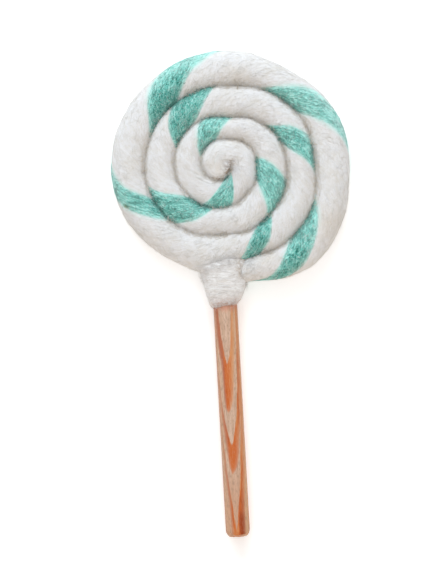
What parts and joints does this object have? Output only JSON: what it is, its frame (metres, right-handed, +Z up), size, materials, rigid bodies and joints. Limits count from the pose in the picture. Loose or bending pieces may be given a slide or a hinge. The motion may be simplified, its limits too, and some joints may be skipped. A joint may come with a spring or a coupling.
{
  "type": "felted wool toy swirl lollipop",
  "caption": "Toy swirl lollipop: a felted wool rope with a helical stripe, coiled into a flat round head on a wooden dowel stick with a felt collar.",
  "frame": {"origin": "middle of the whole object's bounding box on the surface that it lies on", "axes": "+Z is up, out of the shown face of the head. +Y runs along the stick from its free end to the head. +X is to the right when the face is seen with the stick down."},
  "size_m": [0.0792, 0.1618, 0.0117],
  "materials": {
    "white_wool": "matt felted wool, off-white",
    "teal_wool": "matt felted wool, soft teal",
    "collar_wool": "matt wool fibres wound round the stick",
    "bare_wood": "bare sanded wood with a strong orange grain"
  },
  "bodies": {
    "root": {"felt_coil": "white_wool", "teal_stripe": "teal_wool", "felt_collar": "collar_wool", "wood_stick": "bare_wood"}
  },
  "joints": []
}
